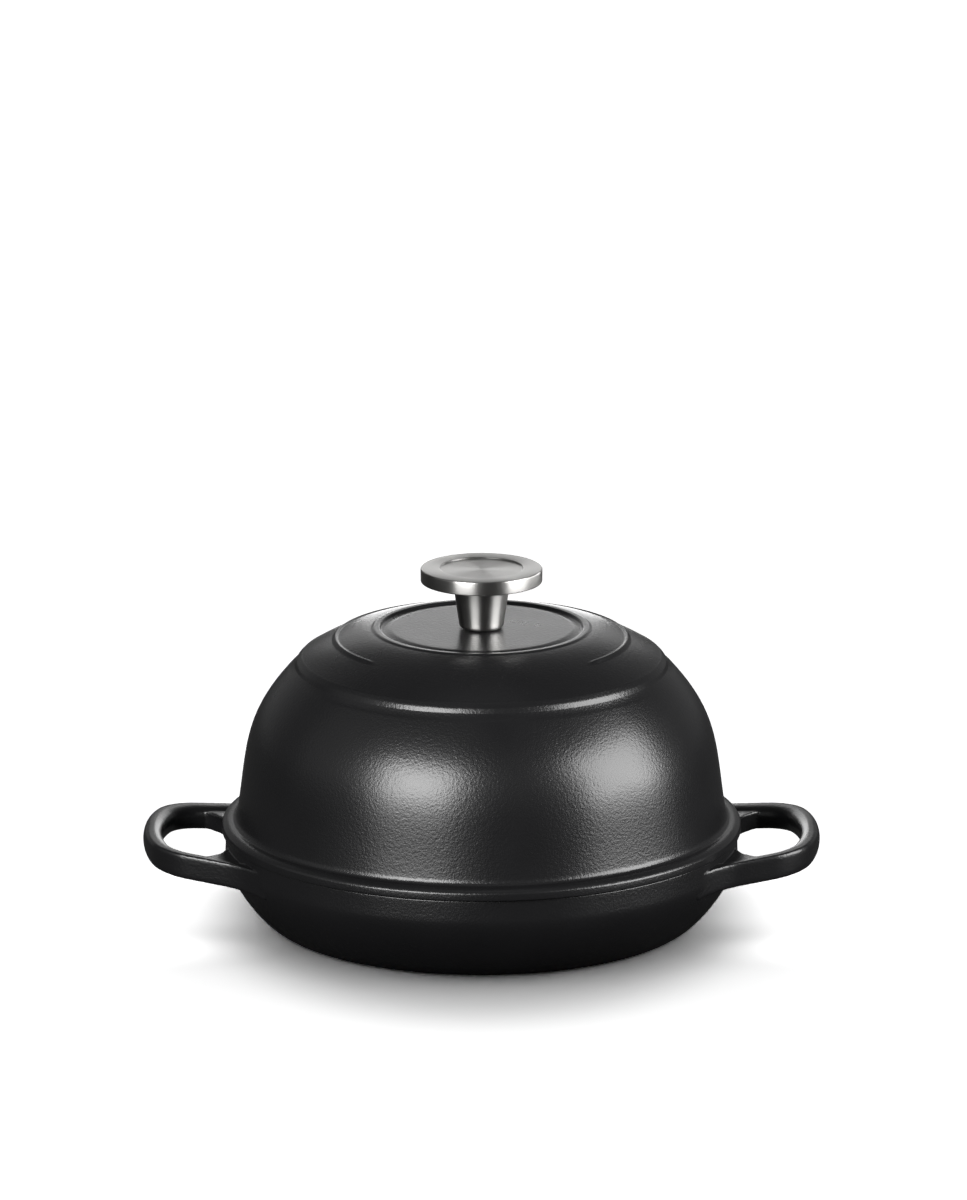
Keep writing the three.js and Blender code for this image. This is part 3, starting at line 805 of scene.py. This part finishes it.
tapped_radius = SCREW_RADIUS + TAPPED_CLEARANCE
stem_neck = STEM_HEIGHT - STEM_FILLET
disc_edge = KNOB_RADIUS - KNOB_EDGE
knob_top = STEM_HEIGHT + KNOB_DISC
half_down = (DISH_RADIUS - DISH_SLOPE, knob_top - DISH_DEPTH / 2)
dish_floor = knob_top - DISH_DEPTH
knob_outline = outline_of(
    [(0, TAPPED_DEPTH), (tapped_radius, TAPPED_DEPTH), (tapped_radius, 0)],
    run((STEM_FOOT - STEM_ROUND, 0), (STEM_FOOT, 0), (STEM_FOOT, STEM_ROUND), steps=9),
    run((STEM_FOOT, STEM_ROUND), (STEM_TOP, stem_neck), steps=8),
    run((STEM_TOP, stem_neck), (STEM_TOP, STEM_HEIGHT), (STEM_TOP + STEM_FILLET, STEM_HEIGHT), steps=7),
    run(
        (disc_edge, STEM_HEIGHT),
        (KNOB_RADIUS, STEM_HEIGHT),
        (KNOB_RADIUS, STEM_HEIGHT + KNOB_EDGE),
        steps=6,
    ),
    run((KNOB_RADIUS, knob_top - KNOB_EDGE), (KNOB_RADIUS, knob_top), (disc_edge, knob_top), steps=6),
    run((DISH_RADIUS, knob_top), (DISH_RADIUS - DISH_LIP, knob_top), half_down, steps=5),
    run(half_down, (DISH_RADIUS - DISH_FOOT, dish_floor), (DISH_RADIUS - DISH_FLAT, dish_floor), steps=5),
    [(0, dish_floor)],
)
knob = turned("knob_turned", knob_outline + (0, RIM_HEIGHT + PLATEAU_HEIGHT + SEAT_GAP), turned_steel)
measured(knob)

# %% [markdown]
# ## Washer and screw
# A slotted screw comes up through the lid from inside, with a washer under its head, and holds the knob.
# Both are turned like the castings. The slot is the one shape here that isn't round, so it is cut out of
# the screw's head afterwards with a small block.

# %% Washer
WASHER_RADIUS, WASHER_THICKNESS, WASHER_EDGE = 9.0, 1.5, 0.25
FASTENER_SEGMENTS = 96

washer_inner = WASHER_RADIUS - WASHER_EDGE
washer_low = RIM_HEIGHT + plateau_under - SEAT_GAP - WASHER_THICKNESS
washer_outline = outline_of(
    run((tapped_radius, 0), (washer_inner, 0)),
    run((washer_inner, 0), (WASHER_RADIUS, 0), (WASHER_RADIUS, WASHER_EDGE), steps=4),
    run((WASHER_RADIUS, WASHER_THICKNESS), (tapped_radius, WASHER_THICKNESS)),
    [(tapped_radius, 0)],
)
washer = turned("washer_pressed", washer_outline + (0, washer_low), plain_steel, segments=FASTENER_SEGMENTS)
measured(washer)

# %% [markdown]
# The screw's head has a rounded rim and its shank ends in a small chamfer. The thread is left off,
# because it sits inside the knob, where nobody sees it.

# %% Screw
HEAD_RADIUS, HEAD_HEIGHT, HEAD_ROUND = 6.0, 3.8, 1.6
SCREW_ENGAGEMENT, SCREW_CHAMFER = 11, 0.6
SLOT_WIDTH, SLOT_DEPTH = 1.4, 1.8

head_top = washer_low - SEAT_GAP
head_flat = HEAD_RADIUS - HEAD_ROUND
shank_top = RIM_HEIGHT + PLATEAU_HEIGHT + SEAT_GAP + SCREW_ENGAGEMENT - head_top
screw_outline = outline_of(
    run((0, -HEAD_HEIGHT), (head_flat, -HEAD_HEIGHT), steps=4),
    run(
        (head_flat, -HEAD_HEIGHT),
        (HEAD_RADIUS, -HEAD_HEIGHT),
        (HEAD_RADIUS, HEAD_ROUND - HEAD_HEIGHT),
        steps=8,
    ),
    [(HEAD_RADIUS, 0), (SCREW_RADIUS, 0), (SCREW_RADIUS, shank_top - SCREW_CHAMFER)],
    [(SCREW_RADIUS - SCREW_CHAMFER, shank_top), (0, shank_top)],
)
screw = turned("screw_slotted", screw_outline + (0, head_top), plain_steel, segments=FASTENER_SEGMENTS)
slot_x, slot_y = HEAD_RADIUS + SLOT_WIDTH, SLOT_WIDTH / 2
slot_plan = np.array([(-slot_x, -slot_y), (slot_x, -slot_y), (slot_x, slot_y), (-slot_x, slot_y)])
slot = loft("screw_slot", [
    np.column_stack([slot_plan, np.full(4, head_top - HEAD_HEIGHT + h)]) for h in (-SLOT_DEPTH, SLOT_DEPTH)
])
cut = screw.modifiers.new("slot", "BOOLEAN")
cut.object = slot
cut.operation = "DIFFERENCE"
cut.solver = "EXACT"
settle(screw)
bpy.data.objects.remove(slot)
measured(screw)

# %% [markdown]
# ## What each piece stands for
# The pan stays and the lid lifts off it with its knob, so every piece rides on one of those two bodies.
# Each takes the place of the plain solid that carries the collision.

# %% Ride and replace
for piece, body, node, finish_slot in (
    (pan, "pan", "base_pan", "pan_enamel"),
    (lid, "lid", "lid_dome", "lid_enamel"),
    (knob, "lid", "knob", "knob_steel"),
    (washer, "lid", "knob_washer", "fastener_steel"),
    (screw, "lid", "knob_screw", "fastener_steel"),
):
    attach(piece, body)
    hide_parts(node)
    print(piece.name, "rides on", body)

# %% [markdown]
# ## Floor
# The pot stands on a white floor. A floor that is as white to the pot as it is to the camera would light
# the black wall from below, so it has two colours: one for the rays that come straight from the camera,
# and a dark one for the light that it throws back. The camera's colour is darker close to the pot, which
# paints a shadow round its foot on top of the one the top light casts, and paler far off and under the
# handles, which paints out the handles' own faint shadow. Rays that were mirrored in enamel or steel see
# the white only in a patch behind the pot, where a studio has its bright backdrop.

# %% Floor paint
# The eye gets plain white paper with a soft grey shadow round the foot of the pot, partly cast by the top
# light and partly painted into the floor's colour
AS_LIT, AS_SEEN_NEAR, AS_SEEN_FAR, PAINTED_LIGHT_UNDER_HANDLES = 0.1, 1.63, 2.65, 1.3
SHADE_CENTRE, SHADE_SQUEEZE = (0, -0.01, 0), (1.35, 1, 1)
SHADE_START, SHADE_END = 0.125, 0.195
HANDLE_SPOT, HANDLE_SPOT_START, HANDLE_SPOT_END = (0.16, 0, 0), 0.096, 0.05
PATCH_SIDE_START, PATCH_SIDE_END = 0.18, 0.12
PATCH_DEPTH_START, PATCH_DEPTH_END = 0.2, 0.35

floor_paint = bpy.data.materials.new("white_sweep")
floor_paint.use_nodes = True
tree = floor_paint.node_tree
tree.nodes.clear()
spot = add(tree, "ShaderNodeTexCoord").outputs["Object"]
squeezed = add(tree, "ShaderNodeVectorMath", {0: spot, 1: SHADE_SQUEEZE}, operation="MULTIPLY")
away = add(tree, "ShaderNodeVectorMath", {0: squeezed, 1: SHADE_CENTRE}, operation="DISTANCE")
# Painted shadow: the floor's colour to the camera is darker within a squeezed circle round the pot and pales
# outwards
paler = add(
    tree,
    "ShaderNodeMapRange",
    {
        "Value": away.outputs["Value"],
        "From Min": SHADE_START,
        "From Max": SHADE_END,
        "To Min": AS_SEEN_NEAR,
        "To Max": AS_SEEN_FAR,
    },
    interpolation_type="SMOOTHSTEP",
)
one_side = add(tree, "ShaderNodeVectorMath", {0: spot}, operation="ABSOLUTE")
from_handle = add(tree, "ShaderNodeVectorMath", {0: one_side, 1: HANDLE_SPOT}, operation="DISTANCE")
# Painted light: the floor is paler round each handle's footprint, which paints out the handles' own faint
# shadow
painted_light_under_handles = add(
    tree,
    "ShaderNodeMapRange",
    {
        "Value": from_handle.outputs["Value"],
        "From Min": HANDLE_SPOT_START,
        "From Max": HANDLE_SPOT_END,
        "To Max": PAINTED_LIGHT_UNDER_HANDLES,
    },
    interpolation_type="SMOOTHSTEP",
)
pale = add(tree, "ShaderNodeMath", {0: paler, 1: painted_light_under_handles}, operation="ADD")

place = add(tree, "ShaderNodeSeparateXYZ", {"Vector": spot}).outputs
aside = add(tree, "ShaderNodeMath", {0: place["X"]}, operation="ABSOLUTE")
middle = add(
    tree,
    "ShaderNodeMapRange",
    {"Value": aside, "From Min": PATCH_SIDE_START, "From Max": PATCH_SIDE_END},
)
behind = add(
    tree,
    "ShaderNodeMapRange",
    {"Value": place["Y"], "From Min": PATCH_DEPTH_START, "From Max": PATCH_DEPTH_END},
)
patch = add(tree, "ShaderNodeMath", {0: behind, 1: middle}, operation="MULTIPLY")
ray = add(tree, "ShaderNodeLightPath").outputs
mirrored_ray = add(
    tree, "ShaderNodeMath", {0: ray["Is Glossy Ray"], 1: ray["Is Transmission Ray"]}, operation="MAXIMUM"
)
mirrored_back = add(tree, "ShaderNodeMath", {0: mirrored_ray, 1: patch}, operation="MULTIPLY")
seen = add(tree, "ShaderNodeMath", {0: ray["Is Camera Ray"], 1: mirrored_back}, operation="MAXIMUM")
paint = add(
    tree,
    "ShaderNodeMix",
    {"Factor": seen, 6: (AS_LIT, AS_LIT, AS_LIT, 1), 7: pale},
    data_type="RGBA",
)
matte = add(tree, "ShaderNodeBsdfDiffuse", {"Color": paint.outputs[2]})
add(tree, "ShaderNodeOutputMaterial", {"Surface": matte})
print("floor paint:", len(tree.nodes), "nodes")

# %% [markdown]
# The floor is one large square. It lies a hair under the pan's underside, so that the two never share a
# plane.

# %% Floor
FLOOR_SIZE, FLOOR_DROP = 12.0, 0.0002

half_floor = FLOOR_SIZE / 2
corners = [(x * half_floor, y * half_floor, 0) for x, y in ((-1, -1), (1, -1), (1, 1), (-1, 1))]
floor_mesh = bpy.data.meshes.new("floor")
floor_mesh.from_pydata(corners, [], [(0, 1, 2, 3)])
floor_mesh.materials.append(floor_paint)
floor = bpy.data.objects.new("floor", floor_mesh)
floor.location.z = -FLOOR_DROP
scene.collection.objects.link(floor)
print("floor", FLOOR_SIZE, "m across")

# %% [markdown]
# ## Studio light
# Two soft boxes, one in front on the left and one far round to the right, make the two glows on the dome
# and the bright bands on the knob. Below each hangs a dimmer skirt, so that the glow fades out downwards,
# and a faint fill stands on the left. One card lights the knob alone. Light linking keeps all of these off
# the floor, where each would throw a shadow of its own. Sizes are given as the pot sees them, in degrees,
# and an area lamp's power is its brightness times its area times pi.

# %% Soft boxes
TARGET = Vector((0, 0, 0.09))
BOX_DISTANCE = 1.5


def from_pot(azimuth, elevation):
    a, e = math.radians(azimuth), math.radians(elevation)
    return Vector((math.sin(a) * math.cos(e), -math.cos(a) * math.cos(e), math.sin(e)))


def area_lamp(name, width, height, brightness, receivers):
    lamp = bpy.data.lights.new(name, "AREA")
    lamp.shape = "RECTANGLE"
    lamp.size, lamp.size_y = width, height
    lamp.energy = math.pi * width * height * brightness
    stand = bpy.data.objects.new(name, lamp)
    stand.light_linking.receiver_collection = receivers
    scene.collection.objects.link(stand)
    return stand


lit_by_boxes = bpy.data.collections.new("lit_by_boxes")
lit_by_boxes.objects.link(floor)
lit_by_boxes.collection_objects[0].light_linking.link_state = "EXCLUDE"
knob_only = bpy.data.collections.new("knob_only")
knob_only.objects.link(knob)

for name, azimuth, elevation, wide, tall, brightness, receivers in (
    ("soft_box_left", -31.5, 22, 34, 28, 15, lit_by_boxes),
    ("soft_box_right", 72, 21, 41, 33, 10.8, lit_by_boxes),
    ("skirt_left", -31.5, 1, 34, 14, 3.2, lit_by_boxes),
    ("skirt_right", 72, 1, 41, 14, 4.8, lit_by_boxes),
    ("fill_left", -60, 30, 80, 50, 0.2, lit_by_boxes),
    ("knob_card", 118, 0, 50, 40, 4, knob_only),
):
    width, height = (2 * BOX_DISTANCE * math.tan(math.radians(span / 2)) for span in (wide, tall))
    soft_box = area_lamp(name, width, height, brightness, receivers)
    soft_box.location = TARGET + from_pot(azimuth, elevation) * BOX_DISTANCE
    soft_box.rotation_euler = from_pot(azimuth, elevation).to_track_quat("Z", "Y").to_euler()
    print(f"{name}: {width:.2f} by {height:.2f} m")

# %% [markdown]
# Two cards stand behind the pot, hidden from the camera. The crown's plateau and beads lie almost level,
# so they mirror what is behind them, and the cards give them their grey shine.

# %% Cards behind the pot
CARD_DISTANCE = 0.6

for name, width, low, high, brightness in (
    ("low_card", 0.22, 0.05, 0.23, 3.0),
    ("high_card", 0.5, 0.23, 0.42, 0.8),
):
    card = area_lamp(name, width, high - low, brightness, lit_by_boxes)
    card.location = (0, CARD_DISTANCE, (low + high) / 2)
    card.rotation_euler = (-math.pi / 2, 0, 0)
    card.visible_camera = False
    print(f"{name}: from {low} to {high} m up")

# %% [markdown]
# A very wide, soft light from behind and above is the only lamp that reaches the floor, so the pot casts
# one soft shadow there, which the floor's painted shade deepens near the pot. It lights without being
# mirrored.

# %% Top light
TOP_LIGHT_POWER, TOP_LIGHT_SPREAD = 1.5, math.radians(160)
TOP_LIGHT_AZIMUTH, TOP_LIGHT_ELEVATION = 180, 45

top_light = bpy.data.lights.new("top_light", "SUN")
top_light.energy = TOP_LIGHT_POWER
top_light.angle = TOP_LIGHT_SPREAD
top_lamp = bpy.data.objects.new("top_light", top_light)
top_way = from_pot(TOP_LIGHT_AZIMUTH, TOP_LIGHT_ELEVATION)
top_lamp.rotation_euler = top_way.to_track_quat("Z", "Y").to_euler()
top_lamp.visible_glossy = False
scene.collection.objects.link(top_lamp)

# %% [markdown]
# The room is white to the camera. For other rays it is nearly dark in front and a little brighter behind
# and overhead, which keeps the enamel black.

# %% Room
ROOM_FRONT, ROOM_BEHIND, ROOM_OVERHEAD = 0.05, 0.2, 0.25
BEHIND_START, BEHIND_END = 0.4, 0.9
OVERHEAD_START, OVERHEAD_END = 0.93, 0.99

studio = bpy.data.worlds.new("studio")
studio.use_nodes = True
tree = studio.node_tree
tree.nodes.clear()
facing = add(tree, "ShaderNodeTexCoord").outputs["Generated"]
toward = add(tree, "ShaderNodeSeparateXYZ", {"Vector": facing}).outputs
behind = add(
    tree,
    "ShaderNodeMapRange",
    {
        "Value": toward["Y"],
        "From Min": BEHIND_START,
        "From Max": BEHIND_END,
        "To Min": ROOM_FRONT,
        "To Max": ROOM_BEHIND,
    },
    interpolation_type="SMOOTHSTEP",
)
overhead = add(
    tree,
    "ShaderNodeMapRange",
    {"Value": toward["Z"], "From Min": OVERHEAD_START, "From Max": OVERHEAD_END, "To Max": ROOM_OVERHEAD},
    interpolation_type="SMOOTHSTEP",
)
bright = add(tree, "ShaderNodeMath", {0: behind, 1: overhead}, operation="MAXIMUM")
seen = add(tree, "ShaderNodeLightPath").outputs["Is Camera Ray"]
strength = add(tree, "ShaderNodeMath", {0: seen, 1: bright}, operation="MAXIMUM")
sky = add(tree, "ShaderNodeBackground", {"Color": linear(WHITE), "Strength": strength})
add(tree, "ShaderNodeOutputWorld", {"Surface": sky})
scene.world = studio
print("room:", ROOM_FRONT, "in front,", ROOM_BEHIND, "behind,", ROOM_OVERHEAD, "overhead")

# %% Finish
print("scene built")
